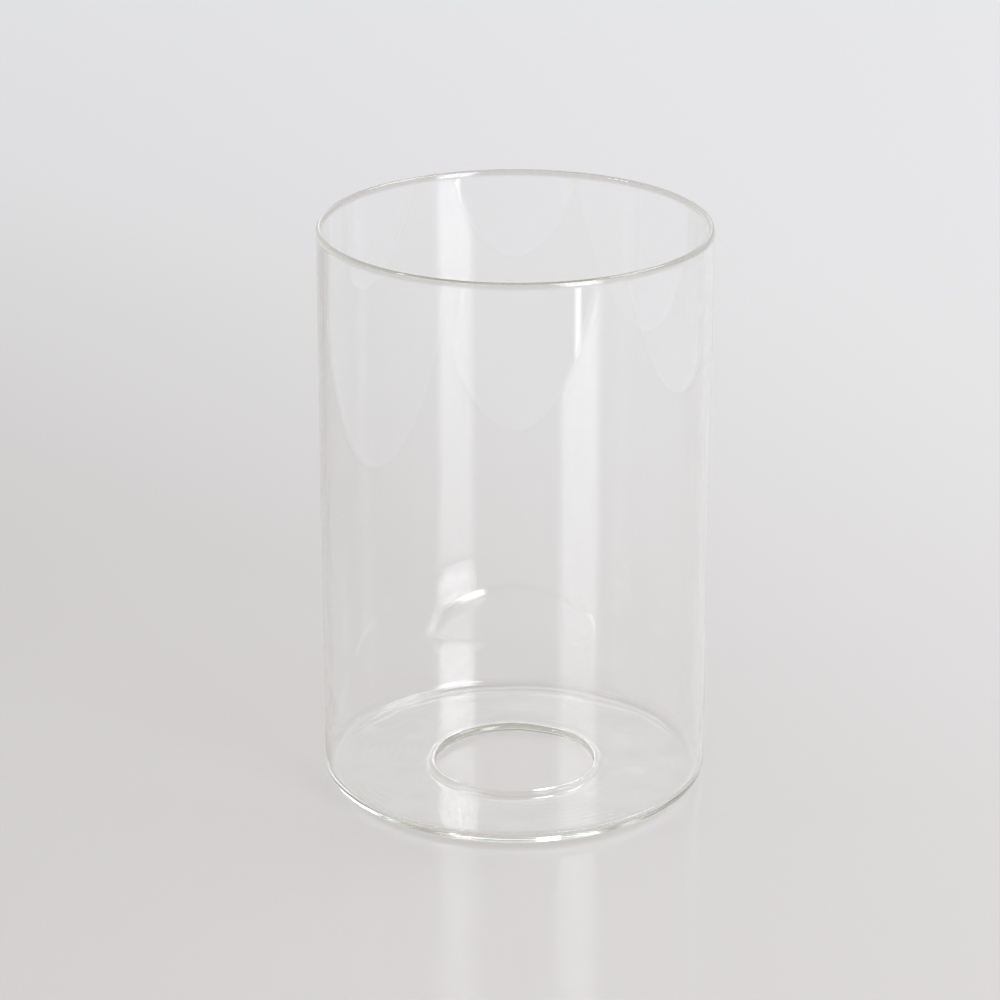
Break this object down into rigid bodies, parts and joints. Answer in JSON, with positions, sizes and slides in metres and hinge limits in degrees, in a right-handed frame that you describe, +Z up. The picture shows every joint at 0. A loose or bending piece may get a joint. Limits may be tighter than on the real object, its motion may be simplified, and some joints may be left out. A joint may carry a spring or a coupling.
{
  "type": "glass cylinder with a holed base",
  "caption": "Clear glass cylinder, open at the top, with its foot turned in to a flat base that has a round hole with a rounded lip.",
  "frame": {"origin": "centre of the foot, on the surface that the glass stands on", "axes": "+Z up along the glass's axis, from the foot to the open mouth"},
  "size_m": [0.1, 0.1, 0.149],
  "materials": {
    "clear_glass": "clear, fire-polished, with a faint yellow-green edge"
  },
  "bodies": {
    "root": {"wall_tube": "clear_glass", "base_ring": "clear_glass"}
  },
  "joints": []
}
